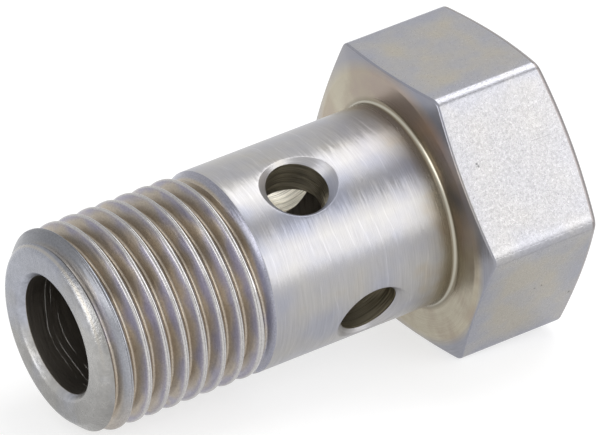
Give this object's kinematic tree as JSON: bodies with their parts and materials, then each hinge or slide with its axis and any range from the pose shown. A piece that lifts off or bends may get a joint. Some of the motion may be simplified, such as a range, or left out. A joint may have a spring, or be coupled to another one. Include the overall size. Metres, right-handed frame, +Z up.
{
  "type": "banjo bolt",
  "caption": "Hollow hexagon-head bolt that clamps a banjo fitting and carries fluid from its blind bore out through countersunk cross holes in the plain shank.",
  "frame": {"origin": "middle of the resting bolt's box, on the surface that it lies on", "axes": "+Z up; the head points to +X and the tip to -X, with the bolt's axis in the XZ plane and raised 6.01 degrees towards the head, as the bolt rests on one flat and on its thread"},
  "size_m": [0.0264, 0.0158, 0.0144],
  "materials": {
    "zinc_plate": "turned steel with a thin zinc plating, semi-bright, fine turning lines and faint yellow and blue tints"
  },
  "bodies": {
    "root": {"banjo_bolt": "zinc_plate"}
  },
  "joints": []
}
